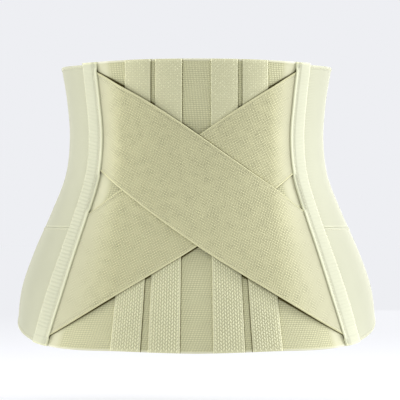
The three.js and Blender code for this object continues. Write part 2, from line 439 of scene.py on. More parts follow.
class Cloth:
    """Grid of places on the worn form, rows going up and columns towards +X, that becomes a closed piece."""

    def __init__(self, angle, z, under, top):
        self.base = form_points(angle, z)
        self.out = outward(angle, z)
        self.middle = np.broadcast_to((under + top) / 2, angle.shape)
        self.half = np.broadcast_to((top - under) / 2, angle.shape)
        points = self.base + self.out * self.middle[..., None]
        self.along = run_length(points, axis=1)
        self.from_bottom = run_length(points, axis=0)
        self.flat = np.stack([self.along, self.from_bottom], axis=-1)
        self.from_sides = np.minimum(self.along, self.along[:, -1:] - self.along)
        self.from_top = self.from_bottom[-1:] - self.from_bottom
        self.from_ends = np.minimum(self.from_bottom, self.from_top)
        self.from_edge = np.minimum(self.from_sides, self.from_ends)

    def turned(self, edge):
        """Share of the thickness left near the edges, where both faces round into each other."""
        sides = 1 - np.clip(self.from_sides / edge, 0, 1)
        ends = 1 - np.clip(self.from_ends / edge, 0, 1)
        return np.sqrt(1 - sides**2) * np.sqrt(1 - ends**2)

    def mesh(self, name, edge, relief, side=1, pale=0.0, crease=0.0):
        """Closed mesh with raised relief on its outer face. Side -1 gives the left-hand copy."""
        turned = self.turned(edge)
        outer = self.base + self.out * (self.middle + (self.half + relief) * turned)[..., None]
        inner = self.base + self.out * (self.middle - self.half * turned)[..., None]
        flat = self.flat
        marks = {"pale": pale, "crease": crease}
        marks = {mark: np.broadcast_to(values, self.along.shape) for mark, values in marks.items()}
        if side < 0:
            outer = outer[:, ::-1] * (-1, 1, 1)
            inner = inner[:, ::-1] * (-1, 1, 1)
            flat = flat[:, ::-1]
            marks = {mark: values[:, ::-1] for mark, values in marks.items()}
        return closed_mesh(name, outer, inner, flat, marks)


def grid_quads(index):
    """Quads of a grid of vertex numbers, turning the same way round."""
    corners = [index[:-1, :-1], index[:-1, 1:], index[1:, 1:], index[1:, :-1]]
    return np.stack(corners, axis=-1).reshape(-1, 4)


def closed_mesh(name, outer, inner, flat, marks):
    """Mesh of two grids that share their border, marked on the outer one, with flat metres as its UVs."""
    rows, columns = outer.shape[:2]
    count = rows * columns
    outer_index = np.arange(count).reshape(rows, columns)
    inner_index = outer_index.copy()
    inside = inner_index[1:-1, 1:-1]
    inside[:] = count + np.arange(inside.size).reshape(inside.shape)
    quads = np.concatenate([grid_quads(outer_index), grid_quads(inner_index)[:, ::-1]])

    def both(outer_values, inner_values):
        shape = (-1, *outer_values.shape[2:])
        return np.concatenate([outer_values.reshape(shape), inner_values[1:-1, 1:-1].reshape(shape)])

    mesh = bpy.data.meshes.new(name)
    mesh.from_pydata(both(outer, inner).tolist(), [], quads.tolist())
    mesh.uv_layers.new(name="Cloth").data.foreach_set("uv", both(flat, flat)[quads.ravel()].ravel())
    for mark, values in marks.items():
        add_attribute(mesh, mark, both(values, np.zeros_like(values)))
    return mesh


def add_attribute(mesh, name, values):
    """Number or direction for each point of a mesh, under a name."""
    kind, field = ("FLOAT", "value") if values.ndim == 1 else ("FLOAT_VECTOR", "vector")
    mesh.attributes.new(name, kind, "POINT").data.foreach_set(field, values.ravel())


def add_piece(mesh, material, node=None):
    """Smooth object for a finished mesh, riding on the brace and standing for its solid."""
    piece = bpy.data.objects.new(mesh.name, mesh)
    bpy.context.scene.collection.objects.link(piece)
    mesh.polygons.foreach_set("use_smooth", np.ones(len(mesh.polygons), dtype=bool))
    mesh.materials.clear()
    mesh.materials.append(material)
    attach(piece, "root")
    if node:
        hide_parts(node)
    return piece


def fold_relief(distance, width):
    """Cloth folded over at an edge: a raised band with a sewn groove near its end."""
    fold = FOLD_HEIGHT * (1 - smoothstep(distance, width - FOLD_STEP, width + FOLD_STEP))
    return fold - STITCH_GROOVE * ridge(distance, width * FOLD_SEWN, FOLD_STEP)


def selvedge_relief(distance):
    """Thin raised line along a woven edge."""
    return SELVEDGE_HEIGHT * ridge(distance, SELVEDGE_INSET, SELVEDGE_WIDTH)


# Places of each cloth on the worn form


def full_height(up, angle_of):
    """Angles and heights at shares of the way up, with the angle that belongs to each height."""
    return settle(lambda angle: between_edges(angle, up), angle_of, up.shape)


def back_place(across, up):
    """Angles and heights of the back panel."""
    share = 2 * across - 1
    return full_height(up, lambda z: back_angle(share * x_beside_seam(z, BACK_TUCK), z))


def casing_x(casing, across, up):
    """Distance of a casing's point from the middle of the back."""
    flare = (1 - up) ** CASING_FLARE
    inner = lerp(casing.top_inner, casing.bottom_inner, flare)
    outer = lerp(casing.top_outer, casing.bottom_outer, flare)
    return lerp(inner, outer, across)


def casing_place(casing, across, up):
    """Angles and heights of a right-hand stay casing."""
    x = casing_x(casing, across, up)
    return full_height(up, lambda z: back_angle(x, z))


def strap_place(strap, across, up):
    """Distances from the middle and heights of a strap, from its left end to its right end."""
    along = (1 - strap.rise * np.cos(math.pi * across)) / 2
    low_z = lerp(strap.low_low, strap.low, up)
    high_z = lerp(strap.high_low, strap.high, up)
    x = lerp(-x_beside_seam(low_z, STRAP_TUCK), x_beside_seam(high_z, STRAP_TUCK), along)
    z = lerp(low_z, high_z, along)
    z = z + lerp(strap.bow_bottom, strap.bow_top, up) * 4 * along * (1 - along)
    z = z - lerp(strap.sway_bottom, strap.sway_top, up) * np.sin(2 * math.pi * along)
    return strap.rise * x, z


def strap_flat(points):
    """Flat coordinates of a strap: along its slope and square to it, with the back's curve unrolled."""
    x, y, z = np.moveaxis(points, -1, 0)
    level = run_length(np.stack([x, y], axis=-1), axis=1)
    middle = [np.interp(0, row_x, row_level) for row_x, row_level in zip(x, level)]
    level = level - np.array(middle)[:, None]
    centre_row = len(z) // 2
    slope = math.atan2(np.ptp(z[centre_row]), np.ptp(level[centre_row]))
    slope *= np.sign(z[centre_row, -1] - z[centre_row, 0])
    along = level * math.cos(slope) + z * math.sin(slope)
    across = z * math.cos(slope) - level * math.sin(slope)
    return np.stack([along, across], axis=-1)


def strap_rise(x, z):
    """How far a strap has climbed from its sewn ends, at 0, to the tops of the casings, at 1."""
    casing_edge = casing_x(CASINGS[0], 1, np.minimum(share_up(z), 1))
    return 1 - smoothstep(np.abs(x), casing_edge, seam_at(z) - STRAP_RAMP_START)


def tape_out(out, z):
    """Distance from the seam of a row of the tape, spread with the band's width at that height."""
    share = np.maximum(0, out - TAPE_GROOVE) / (TAPE_REACH - TAPE_GROOVE)
    return out + share * (tape_reach_at(z) - TAPE_REACH)


def tape_place(out, up):
    """Angles and heights of the right-hand tape."""
    return full_height(up, lambda z: beside_seam(z, tape_out(out, z)))


def tape_profile(out, column):
    """Underside or top of the tape's padding, rounded from row to row."""
    places = np.array([row.out for row in TAPE_ROWS])
    values = np.array([getattr(row, column) for row in TAPE_ROWS])
    span = np.clip(np.searchsorted(places, out, side="right") - 1, 0, len(TAPE_ROWS) - 2)
    share = smoothstep(out, places[span], places[span + 1])
    return lerp(values[span], values[span + 1], share)


def tape_layers(out, z):
    """Underside and top of a tape, whose raised edge is let down where no strap lies under it."""
    lifted = 0.0
    for strap in STRAPS:
        for low, high in ((strap.high_low, strap.high), (strap.low_low, strap.low)):
            above_low = smoothstep(z, low - TAPE_RAMP, low)
            below_high = 1 - smoothstep(z, high, high + TAPE_RAMP)
            lifted = np.maximum(lifted, above_low * below_high)
    down = (1 - lifted) * (1 - smoothstep(out, TAPE_ROWS[1].out, TAPE_GROOVE))
    under = tape_profile(out, "under") - TAPE_LET_DOWN * down
    top = tape_profile(out, "top") - TAPE_TOP_LET_DOWN * down
    return under, top


def tape_pale(out):
    """Paleness of a tape from its raised edge outwards: a painted highlight on the lip, painted shade in the
    sewn groove and a duller band.
    """
    # Painted highlight on the raised lip, and painted shade in the sewn groove
    lip = TAPE_LIP_HIGHLIGHT * (1 - smoothstep(out, TAPE_ROWS[1].out, TAPE_LIP))
    groove = TAPE_GROOVE_SHADE * ridge(out, TAPE_GROOVE, TAPE_GROOVE_WIDTH)
    band = DULL_TAPE_BAND * smoothstep(out, TAPE_GROOVE, TAPE_BAND[0])
    return lip - groove - band


def tape_grooves(cloth, out, z, pitch):
    """1 in the grooves between the soft ribs across a tape's band, fainter towards the waist."""
    from_groove = (cloth.from_bottom / pitch + 0.5) % 1 - 0.5
    grooves = ridge(from_groove * pitch, 0, RIB_GROOVE_WIDTH)
    band = smoothstep(out, TAPE_GROOVE, TAPE_BAND[0]) * (1 - smoothstep(out, TAPE_BAND[1], TAPE_REACH))
    faded = lerp(1, RIB_FAINT, smoothstep(z, *RIB_FADE))
    ribbed = (cloth.from_bottom > RIB_ENDS[0]) & (cloth.from_top > RIB_ENDS[1])
    return grooves * band * faded * ribbed


def side_angle(z, across):
    """Angle at a share of the way from the right tape to the middle of the front."""
    front = math.pi - FRONT_HALF_GAP / front_at(z)
    return lerp(beside_seam(z, SIDE_START), front, across)


def side_place(low_at, high_at, across, up):
    """Angles and heights of a right-hand side panel between two edges."""
    return settle(
        lambda angle: lerp(low_at(angle), high_at(angle), up),
        lambda z: side_angle(z, across),
        across.shape,
    )


def side_top(angle):
    """Top edge of the side panels, a little below the tape's."""
    return top_at(angle) - SIDE_EDGE_DROP


def hip_seam_over(angle):
    """Lower edge of the upper side panels."""
    return np.full_like(angle, HIP_SEAM_HEIGHT + HIP_SEAM_GAP / 2)


def hip_seam_under(angle):
    """Upper edge of the lower side panels."""
    return np.full_like(angle, HIP_SEAM_HEIGHT - HIP_SEAM_GAP / 2)


def flap_place(x, up, half_width):
    """Angles and heights of the front flap, whose corners are rounded."""
    into_corner = np.clip(FLAP_CORNER - (half_width - np.abs(x)), 0, FLAP_CORNER)
    rounded = FLAP_CORNER - np.sqrt(FLAP_CORNER**2 - into_corner**2)
    margin = FLAP_MARGIN + rounded
    angle, z = settle(
        lambda angle: lerp(bottom_at(angle) + margin, top_at(angle) - margin, up),
        lambda z: np.arctan2(x, -front_at(z)),
        x.shape,
    )
    return np.where(angle < 0, angle + 2 * math.pi, angle), z


# Painted shade beside the cloths that lie on top, seen square to the back


def painted_shade_mark(*distances):
    """How close the nearest covering edge is, for its painted shade: 0 far from it, rising to its reach and
    on under the cover.
    """
    nearest = np.minimum.reduce(np.broadcast_arrays(*distances))
    return PAINTED_SHADE_REACH - np.clip(nearest, -PAINTED_SHADE_REACH, PAINTED_SHADE_REACH)


def beyond_strap(strap, x, z, standoffs):
    """Distance outside a strap's lower and upper edges with their stand-offs, negative under the strap."""
    across = np.linspace(0, 1, EDGE_SAMPLES)
    gaps = []
    for up, way, standoff in zip((0.0, 1.0), (-1, 1), standoffs):
        edge_x, edge_z = strap_place(strap, across, np.full_like(across, up))
        slope = (edge_z[-1] - edge_z[0]) / (edge_x[-1] - edge_x[0])
        order = np.argsort(edge_x)
        gap = way * (z - np.interp(x, edge_x[order], edge_z[order]))
        gaps.append(gap / math.hypot(1, slope) + standoff)
    return np.maximum(*gaps)


def lit_standoff(x):
    """Stand-off of an edge that faces left, whose painted shade stays light near the middle and on the left,
    as though lit from there.
    """
    return LIT_STANDOFF * (1 - smoothstep(x, *LIT_REACH))


def lit_standoffs(strap, x, standoffs):
    """Stand-offs of a strap's lower and upper edge, with more at the one that faces left."""
    lower, upper = standoffs
    if strap.rise < 0:
        return lower + lit_standoff(x), upper
    return lower, upper + lit_standoff(x)


def beyond_strap_on_knit(strap, x, z):
    """Distance outside a strap on the back panel, where its painted shade is widest between the casings."""
    rise = strap_rise(x, z)
    standoffs = [lerp(sewn, RAISED_STANDOFF, rise) for sewn in SEWN_STANDOFFS]
    return beyond_strap(strap, x, z, lit_standoffs(strap, x, standoffs))


def strap_shade_on_casing(x, z):
    """Painted shade beside the straps on the casings, which they lie close to."""
    return painted_shade_mark(
        *(beyond_strap(strap, x, z, lit_standoffs(strap, x, STRAP_STANDOFFS_ON_CASING)) for strap in STRAPS)
    )


def beyond_tape(x, z):
    """Distance inwards from the raised inner edges of the tapes."""
    return x_beside_seam(z, TAPE_ROWS[0].out) - np.abs(x)


def beyond_casing(casing, x, z):
    """Distance outside a casing's long edges on either side of the brace."""
    up = share_up(z)
    lit = lit_standoff(x)
    before = casing_x(casing, 0, up) - np.abs(x) + lit * (x > 0)
    after = np.abs(x) - casing_x(casing, 1, up) + lit * (x < 0)
    return np.maximum(before, after)


# Nodes


def add_node(tree, kind, inputs=None, **settings):
    """Node with its settings, whose inputs are linked to sockets or set to plain values."""
    node = tree.nodes.new(kind)
    for name, value in settings.items():
        setattr(node, name, value)
    for name, value in (inputs or {}).items():
        if isinstance(value, bpy.types.NodeSocket):
            tree.links.new(value, node.inputs[name])
        else:
            node.inputs[name].default_value = value
    return node


def add_math(tree, operation, *operands):
    """Output of a math node on sockets and plain numbers."""
    return add_node(tree, "ShaderNodeMath", dict(enumerate(operands)), operation=operation).outputs[0]


def add_vector_math(tree, operation, first, second):
    """Output of a vector math node. Its second operand is a number where it scales."""
    second_input = "Scale" if operation == "SCALE" else 1
    inputs = {0: first, second_input: second}
    return add_node(tree, "ShaderNodeVectorMath", inputs, operation=operation).outputs[0]


def add_noise(tree, vector, scale, detail, roughness=0.5):
    """Noise from 0 to 1."""
    inputs = {"Vector": vector, "Scale": scale, "Detail": detail, "Roughness": roughness}
    return add_node(tree, "ShaderNodeTexNoise", inputs).outputs[0]


def add_variation(tree, noise, amount):
    """Noise moved to either side of 0, times an amount."""
    return add_math(tree, "MULTIPLY", add_math(tree, "SUBTRACT", noise, 0.5), amount)


def add_mark(tree, name):
    """Number that the cloth's points hold under a name."""
    return add_node(tree, "ShaderNodeAttribute", attribute_name=name).outputs["Fac"]


def new_group(name, kind, inputs, outputs):
    """Empty node group with named sockets. Gives back the sockets that feed it and its output node."""
    tree = bpy.data.node_groups.new(name, kind)
    for in_out, sockets in (("INPUT", inputs), ("OUTPUT", outputs)):
        for socket_name, socket_kind in sockets.items():
            tree.interface.new_socket(socket_name, in_out=in_out, socket_type=f"NodeSocket{socket_kind}")
    return tree, tree.nodes.new("NodeGroupInput").outputs, tree.nodes.new("NodeGroupOutput")


# Shader groups and materials


def weave_group():
    """Height of woven threads on the flat cloth, from ribs to checks, fainter in pale and dull places."""
    names = ("Across pitch", "Up pitch", "Pebble", "Waver", "Unevenness", "Smoothing")
    inputs = dict.fromkeys(names, "Float")
    tree, given, result = new_group("Woven threads", "ShaderNodeTree", inputs, {"Height": "Float"})
    flat = add_node(tree, "ShaderNodeUVMap", uv_map="Cloth").outputs["UV"]
    parts = add_node(tree, "ShaderNodeSeparateXYZ", {0: flat}).outputs
    drift = add_variation(tree, add_noise(tree, flat, WAVER_SCALE, detail=1), given["Waver"])

    def wave(axis, pitch):
        turns = add_math(tree, "DIVIDE", parts[axis], given[pitch])
        wavering = add_math(tree, "ADD", turns, drift)
        return add_math(tree, "SINE", add_math(tree, "MULTIPLY", wavering, 2 * math.pi))

    across = wave("X", "Across pitch")
    up = wave("Y", "Up pitch")
    pebble = add_math(tree, "MULTIPLY", across, up)
    ribs = add_math(tree, "MULTIPLY_ADD", across, RIBS_ACROSS, add_math(tree, "MULTIPLY", up, RIBS_UP))
    change = add_math(tree, "SUBTRACT", pebble, ribs)
    mixed = add_math(tree, "MULTIPLY_ADD", change, given["Pebble"], ribs)
    marked = add_math(tree, "ABSOLUTE", add_mark(tree, "pale"))
    smoothed = add_math(tree, "MULTIPLY", marked, given["Smoothing"])
    swell = add_variation(tree, add_noise(tree, flat, STRETCH_SCALE, detail=1), given["Unevenness"])
    strength = add_math(tree, "SUBTRACT", add_math(tree, "ADD", 1.0, swell), smoothed)
    shown = add_node(tree, "ShaderNodeClamp", {"Value": strength, "Max": DEEPEST_WEAVE}).outputs[0]
    height = add_math(tree, "MULTIPLY_ADD", add_math(tree, "MULTIPLY", mixed, shown), 0.5, 0.5)
    tree.links.new(height, result.inputs["Height"])
    return tree


def tone_group():
    """Cloth colour with painted shade in the gaps between threads, faint patches, paler and duller places,
    some of them painted highlight and shade, and painted shade beside covering edges.
    """
    inputs = {"Color": "Color", "Cream": "Vector", "Dulling": "Vector"}
    inputs |= dict.fromkeys(("Height", "Gap depth", "Patches", "Crease depth"), "Float")
    tree, given, result = new_group("Cloth tone", "ShaderNodeTree", inputs, {"Color": "Color"})
    place = add_node(tree, "ShaderNodeTexCoord").outputs["Object"]
    # Painted shade in the gaps between threads, where the woven height is low
    gaps = add_math(tree, "SUBTRACT", given["Height"], 0.5)
    shade = add_math(tree, "MULTIPLY_ADD", gaps, given["Gap depth"], 1.0)
    noise = add_noise(tree, place, PATCH_SCALE, detail=5, roughness=0.65)
    lit = add_math(tree, "ADD", shade, add_variation(tree, noise, given["Patches"]))
    pale = add_mark(tree, "pale")
    cream = add_vector_math(tree, "SCALE", given["Cream"], add_math(tree, "MAXIMUM", pale, 0.0))
    dulling = add_vector_math(tree, "SCALE", given["Dulling"], add_math(tree, "MINIMUM", pale, 0.0))
    toned = add_vector_math(tree, "ADD", add_vector_math(tree, "ADD", given["Color"], cream), dulling)
    # Painted shade beside covering edges, taking more blue than red out of the colour
    shade_range = {
        "Value": add_mark(tree, "crease"),
        "From Min": PAINTED_SHADE_REACH - PAINTED_SHADE_WIDTH[1],
        "From Max": PAINTED_SHADE_REACH - PAINTED_SHADE_WIDTH[0],
    }
    crease = add_node(tree, "ShaderNodeMapRange", shade_range, interpolation_type="SMOOTHSTEP")
    dark = add_math(tree, "MULTIPLY", crease.outputs[0], given["Crease depth"])
    left = add_vector_math(tree, "SUBTRACT", (1, 1, 1), add_vector_math(tree, "SCALE", PAINTED_SHADE_TINT, dark))
    shaded = add_vector_math(tree, "MULTIPLY", toned, left)
    tree.links.new(add_vector_math(tree, "SCALE", shaded, lit), result.inputs["Color"])
    return tree


# Values of the two shader groups, whose inputs have the same names, and of the shader that they feed
Weave = namedtuple(
    "Weave", "across_pitch up_pitch pebble waver unevenness smoothing", defaults=(0.0, PALE_SMOOTHING)
)
Tone = namedtuple("Tone", "gap_depth patches crease_depth cream dulling", defaults=(0.0, CREAM, CREAM))
Finish = namedtuple("Finish", "bump bump_strength roughness specular sheen")


def add_group(tree, name, make, values):
    """The shared shader group of that name, built the first time, with its values set."""
    group = bpy.data.node_groups.get(name) or make()
    inputs = {field.replace("_", " ").capitalize(): value for field, value in values._asdict().items()}
    return add_node(tree, "ShaderNodeGroup", inputs, node_tree=group)


def fabric_material(name, colour, tone, finish, add_height):
    """Cloth or thread whose relief shows as bump and as painted shade in the gaps of its colour."""
    material = bpy.data.materials.new(name)
    material.use_nodes = True
    tree = material.node_tree
    shader = tree.nodes["Principled BSDF"]
    height = add_height(tree)
    toned = add_group(tree, "Cloth tone", tone_group, tone)
    toned.inputs["Color"].default_value = (*colour, 1)
    tree.links.new(height, toned.inputs["Height"])
    relief = {"Height": height, "Strength": finish.bump_strength, "Distance": finish.bump}
    bump = add_node(tree, "ShaderNodeBump", relief)
    tree.links.new(bump.outputs["Normal"], shader.inputs["Normal"])
    tree.links.new(toned.outputs["Color"], shader.inputs["Base Color"])
    shader.inputs["Roughness"].default_value = finish.roughness
    shader.inputs["Specular IOR Level"].default_value = finish.specular
    shader.inputs["Sheen Weight"].default_value = finish.sheen
    shader.inputs["Sheen Roughness"].default_value = SHEEN_ROUGHNESS
    return material


def cloth_material(name, colour, weave, tone, bump, roughness, sheen):
    """Cloth with woven threads."""
    finish = Finish(bump, 1.0, roughness, CLOTH_SPECULAR, sheen)

    def add_weave(tree):
        return add_group(tree, "Woven threads", weave_group, weave).outputs["Height"]

    return fabric_material(name, colour, tone, finish, add_weave)


def knit_material(colour):
    """Fine elastic knit with level ribs."""
    weave = Weave(across_pitch=0.0029, up_pitch=0.0021, pebble=0.2, waver=0.3, unevenness=1.0)
    tone = Tone(gap_depth=0.55, patches=0.12, crease_depth=0.88, cream=KNIT_CREAM, dulling=KNIT_CREAM)
    return cloth_material("knit", colour, weave, tone, bump=0.0004, roughness=0.9, sheen=0.1)


def webbing_material(colour):
    """Ground of the stay casings, under their herringbone threads."""
    weave = Weave(across_pitch=0.0018, up_pitch=0.0018, pebble=0.5, waver=0.3, smoothing=0.0)
    tone = Tone(gap_depth=0.45, patches=0.1, crease_depth=0.5)
    return cloth_material("webbing", colour, weave, tone, bump=0.0003, roughness=0.88, sheen=0.1)


def elastic_material(colour):
    """Pebbled woven elastic of the straps, whose sewn ends carry a painted shade, darker and less yellow."""
    weave = Weave(across_pitch=0.0021, up_pitch=0.0022, pebble=0.65, waver=0.4, unevenness=1.6)
    tone = Tone(
        gap_depth=1.15, patches=0.12, crease_depth=0.5, cream=(0.6, 0.59, 0.4), dulling=(0.7, 0.58, -0.45)
    )
    return cloth_material("elastic", colour, weave, tone, bump=0.00075, roughness=0.88, sheen=0.1)


def tape_material(colour):
    """Soft padded tape."""
    weave = Weave(across_pitch=0.0013, up_pitch=0.0017, pebble=0.2, waver=0.3)
    tone = Tone(gap_depth=0.1, patches=0.08, cream=(0.6, 0.6, 0.25), dulling=(0.6, 0.6, 0.4))
    return cloth_material("tape", colour, weave, tone, bump=0.00025, roughness=0.8, sheen=0.15)


def side_cloth_material(colour):
    """Smooth satin-weave cloth of the side panels."""
    weave = Weave(across_pitch=0.0012, up_pitch=0.0016, pebble=0.1, waver=0.4)
    tone = Tone(gap_depth=0.1, patches=0.07)
    return cloth_material("side_cloth", colour, weave, tone, bump=0.00015, roughness=0.72, sheen=0.2)


def thread_material(name, colour, crease_depth):
    """Sewing or weaving thread, with a fine twist along it."""
    finish = Finish(bump=0.0002, bump_strength=0.6, roughness=0.7, specular=0.3, sheen=0.1)
    tone = Tone(gap_depth=0.2, patches=0.1, crease_depth=crease_depth)

    def add_twist(tree):
        place = add_node(tree, "ShaderNodeTexCoord").outputs["Object"]
        return add_noise(tree, place, TWIST_SCALE, detail=2)

    return fabric_material(name, colour, tone, finish, add_twist)


# Rows of threads: stitches and herringbone follow paths on the cloth

ThreadPath = namedtuple("ThreadPath", "points facing lean crease")


def thread_path(angle, z, distance, side, lean=0.0, on_casing=False):
    """Path over the worn form at a distance from it, with its outward directions and its painted shade."""
    facing = outward(angle, z)
    points = form_points(angle, z) + facing * np.broadcast_to(distance, z.shape)[..., None]
    flip = (side, 1, 1)
    # Painted shade beside the straps, on threads that lie on a casing
    crease = strap_shade_on_casing(side * points[..., 0], z) if on_casing else np.zeros_like(z)
    return ThreadPath(points * flip, facing * flip, np.full_like(z, lean * side), crease)


def thread_rows_tree():
    """Geometry nodes that lay a small rounded thread at every pitch along each path."""
    inputs = {"Paths": "Geometry"}
    inputs |= dict.fromkeys(("Pitch", "Length", "Width", "Height", "Lean"), "Float")
    inputs |= {"Seed": "Int", "Material": "Material"}
    tree, given, result = new_group("Thread rows", "GeometryNodeTree", inputs, {"Threads": "Geometry"})

    def add(kind, inputs=None, **settings):
        return add_node(tree, kind, inputs, **settings).outputs[0]

    curve = add("GeometryNodeMeshToCurve", {"Mesh": given["Paths"]})
    points = add("GeometryNodeResampleCurve", {"Curve": curve, "Length": given["Pitch"]}, mode="LENGTH")

    bead_size = {"Segments": BEAD_SEGMENTS, "Rings": BEAD_RINGS, "Radius": 0.5}
    bead = add("GeometryNodeMeshUVSphere", bead_size)
    size = add("ShaderNodeCombineXYZ", {"X": given["Length"], "Y": given["Width"], "Z": given["Height"]})
    thread = add("GeometryNodeTransform", {"Geometry": bead, "Scale": size})

    tangent = add("GeometryNodeInputTangent")
    facing = add("GeometryNodeInputNamedAttribute", {"Name": "facing"}, data_type="FLOAT_VECTOR")
    axes = add("FunctionNodeAxesToRotation", {0: tangent, 1: facing}, primary_axis="X", secondary_axis="Z")
    lean = add("GeometryNodeInputNamedAttribute", {"Name": "lean"}, data_type="FLOAT")
    lean_angle = add_math(tree, "MULTIPLY", lean, given["Lean"])
    spin = add("FunctionNodeAxisAngleToRotation", {"Axis": (0, 0, 1), "Angle": lean_angle})
    turn = add("FunctionNodeRotateRotation", {0: axes, 1: spin}, rotation_space="LOCAL")

    spread = {0: SMALLEST_THREAD, 1: LARGEST_THREAD, "Seed": given["Seed"]}
    uneven = add("FunctionNodeRandomValue", spread, data_type="FLOAT_VECTOR")
    laid = {"Points": points, "Instance": thread, "Rotation": turn, "Scale": uneven}
    rows = add("GeometryNodeInstanceOnPoints", laid)
    real = add("GeometryNodeRealizeInstances", {"Geometry": rows})
    finished = add("GeometryNodeSetMaterial", {"Geometry": real, "Material": given["Material"]})
    tree.links.new(finished, result.inputs["Threads"])
    return tree


def path_mesh(name, paths):
    """Mesh of bare edges along the paths, with the directions and painted shade that the threads need."""
    joined = ThreadPath(*(np.concatenate(column) for column in zip(*paths)))
    starts = np.cumsum([0] + [len(path.points) for path in paths])
    edges = []
    for first, after_last in zip(starts[:-1], starts[1:]):
        edges += [(i, i + 1) for i in range(first, after_last - 1)]
    mesh = bpy.data.meshes.new(name)
    mesh.from_pydata(joined.points.tolist(), edges, [])
    for mark in ("facing", "lean", "crease"):
        add_attribute(mesh, mark, getattr(joined, mark))
    return mesh


def lay_threads(name, paths, settings, material):
    """Threads along the paths, baked to a plain mesh."""
    tree = bpy.data.node_groups.get("Thread rows") or thread_rows_tree()
    carrier = bpy.data.objects.new(name + "_paths", path_mesh(name + "_paths", paths))
    bpy.context.scene.collection.objects.link(carrier)
    rows = carrier.modifiers.new("Thread rows", "NODES")
    rows.node_group = tree
    values = {**settings, "Material": material}
    for socket in tree.interface.items_tree:
        if socket.in_out == "INPUT" and socket.name in values:
            rows[socket.identifier] = values[socket.name]
    evaluated = carrier.evaluated_get(bpy.context.evaluated_depsgraph_get())
    mesh = bpy.data.meshes.new_from_object(evaluated)
    bpy.data.objects.remove(carrier)
    if not mesh.polygons:
        raise RuntimeError(f"{name} has no threads")
    mesh.name = name
    return add_piece(mesh, material)


# Settings that a user would change


def length_setting(name, description, default):
    """Setting that holds a length."""
    return FloatProperty(name=name, description=description, default=default, unit="LENGTH")


def colour_setting(name, description, default):
    """Setting that holds a colour."""
    return FloatVectorProperty(
        name=name, description=description, default=default, subtype="COLOR", min=0, max=1
    )


class BraceSizes(bpy.types.PropertyGroup):
    """Thicknesses and gaps of the cloth layers"""

    layer_gap: length_setting("Layer gap", "Gap between layers of cloth", 0.0006)
    back_thickness: length_setting("Back panel", "Thickness of the knitted back panel", 0.0013)
    casing_edge: length_setting("Casing edge", "Height of a stay casing at its edges", 0.0013)
    casing_crown: length_setting("Casing crown", "Height of a casing over its stay", 0.0023)
    strap_thickness: length_setting("Straps", "Thickness of the crossed straps", 0.0013)
    side_thickness: length_setting("Side panels", "Thickness of the side panels", 0.0017)
    flap_thickness: length_setting("Front flap", "Thickness of the front flap", 0.0018)
    flap_half_width: length_setting("Flap half width", "Half the width of the front flap", 0.058)
    hem_width: length_setting("Hem", "Width of the folded top and bottom edges", 0.0035)

    @property
    def casing_floor(self):
        """Height of the casings' inner faces over the worn form."""
        return self.back_thickness + self.layer_gap

    def casing_top(self, across):
        """Height of a casing's outer face over the worn form, which is highest over the stay inside it."""
        crowned = 1 - (2 * across - 1) ** CASING_ROUNDNESS
        return self.casing_floor + lerp(self.casing_edge, self.casing_crown, crowned)

    def strap_floor(self, strap):
        """Height of a strap's inner face over the worn form where it crosses the casings."""
        under = self.casing_floor + self.casing_crown + self.layer_gap
        return under if strap.name == "under" else under + self.strap_thickness + self.layer_gap

    @property
    def flap_floor(self):
        """Height of the front flap's inner face over the worn form."""
        return self.side_thickness + FOLD_HEIGHT + self.layer_gap


class BraceThreads(bpy.types.PropertyGroup):
    """Sizes of the stitches, herringbone threads and ribs of the tapes"""

    stitch_pitch: length_setting("Stitch pitch", "Distance from stitch to stitch", 0.0032)
    stitch_length: length_setting("Stitch length", "Length of a stitch", 0.0025)
    stitch_width: length_setting("Stitch width", "Thickness of the sewing thread", 0.0007)
    herringbone_columns: IntProperty(
        name="Herringbone columns", description="Columns of threads across a casing", default=11, min=2
    )
    herringbone_pitch: length_setting("Herringbone pitch", "Distance from thread to thread", 0.0037)
    herringbone_width: length_setting("Herringbone width", "Width of a casing thread", 0.00125)
    herringbone_height: length_setting("Herringbone height", "Height of a casing thread", 0.0008)
    herringbone_lean: FloatProperty(
        name="Herringbone lean", description="Slant of the threads", default=math.radians(18), subtype="ANGLE"
    )
    rib_pitch: length_setting("Rib pitch", "Distance between a tape's soft ribs", 0.0039)
    seed: IntProperty(name="Seed", description="Seed of the threads' unevenness", default=7)


class BraceColours(bpy.types.PropertyGroup):
    """Colours of the cloths and threads"""

    knit: colour_setting("Knit", "Back panel", (0.55, 0.54, 0.325))
    webbing: colour_setting("Webbing", "Stay casings", (0.53, 0.52, 0.32))
    herringbone: colour_setting("Herringbone", "Casing threads", (0.775, 0.77, 0.51))
    elastic: colour_setting("Elastic", "Crossed straps", (0.548, 0.532, 0.308))
    tape: colour_setting("Tape", "Seam tapes", (0.57, 0.575, 0.408))
    side_cloth: colour_setting("Side cloth", "Side panels", (0.455, 0.458, 0.318))
    thread: colour_setting("Thread", "Sewing thread", (0.62, 0.605, 0.42))


class BraceStage(bpy.types.PropertyGroup):
    """Camera, light and floor"""

    camera_place: FloatVectorProperty(
        name="Camera",
        description="Place of the camera",
        default=(0.0036, -2.4, -0.066),
        subtype="XYZ",
        unit="LENGTH",
    )
    lens: FloatProperty(name="Lens", description="Focal length in millimetres", default=203.6, unit="CAMERA")
    backdrop: colour_setting("Backdrop", "What shows behind", (0.855, 0.863, 0.896))
    right_light: FloatProperty(
        name="Right light", description="Power of the right light", default=10.2, unit="POWER"
    )
    left_light: FloatProperty(
        name="Left light", description="Power of the left light", default=5.8, unit="POWER"
    )
    front_light: FloatProperty(
        name="Front light", description="Power of the front light", default=4, unit="POWER"
    )
    floor_drop: length_setting("Floor drop", "Gap from the brace to the floor", 0.06)


# One operator for each piece or group of like pieces


